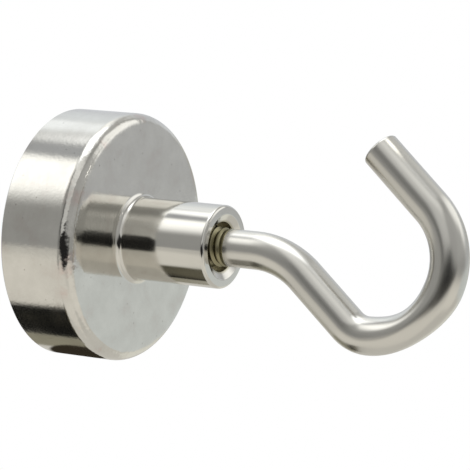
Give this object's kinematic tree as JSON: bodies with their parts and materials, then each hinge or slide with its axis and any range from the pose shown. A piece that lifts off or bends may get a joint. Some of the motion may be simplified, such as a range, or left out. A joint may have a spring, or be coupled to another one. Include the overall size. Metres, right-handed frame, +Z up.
{
  "type": "magnetic hook",
  "caption": "Round cup magnet with a threaded bush that carries a screw-in open wire hook, for hanging things from a steel surface.",
  "frame": {"origin": "centre of the magnet's contact face, in the plane of the cup's rim", "axes": "+Y out of the contact face into the steel surface that holds the hook, -Y out along the bush and the hook's neck, +Z up through the hook's open mouth, +X to the right when facing +Y"},
  "size_m": [0.025, 0.0446, 0.025],
  "materials": {
    "cup_steel": "bright nickel plate on pressed steel",
    "bush_steel": "bright nickel plate on turned steel",
    "wire_steel": "bright nickel plate on drawn and bent steel wire",
    "magnet_nickel": "nickel plate on a ground magnet disc",
    "resin": "poured potting resin, dull black"
  },
  "bodies": {
    "magnet_base": {"cup": "cup_steel", "magnet_disc": "magnet_nickel", "resin_bed": "resin", "threaded_bush": "bush_steel"},
    "screw_travel": {"shank_point": "wire_steel"},
    "hook": {"wire_hook": "wire_steel"}
  },
  "joints": [
    {"name": "hook_travel", "type": "slide", "parent": "magnet_base", "child": "screw_travel", "axis": [0, 1, 0], "range_m": [-0.0056, 0.0014]},
    {"name": "hook_turn", "type": "hinge", "parent": "screw_travel", "child": "hook", "pos_m": [0, -0.0182, 0], "axis": [0, 1, 0], "range_deg": [-2880, 720]}
  ],
  "couplings": [
    {"joint": "hook_turn", "follows": "hook_travel", "rad_per_m": 8976}
  ]
}
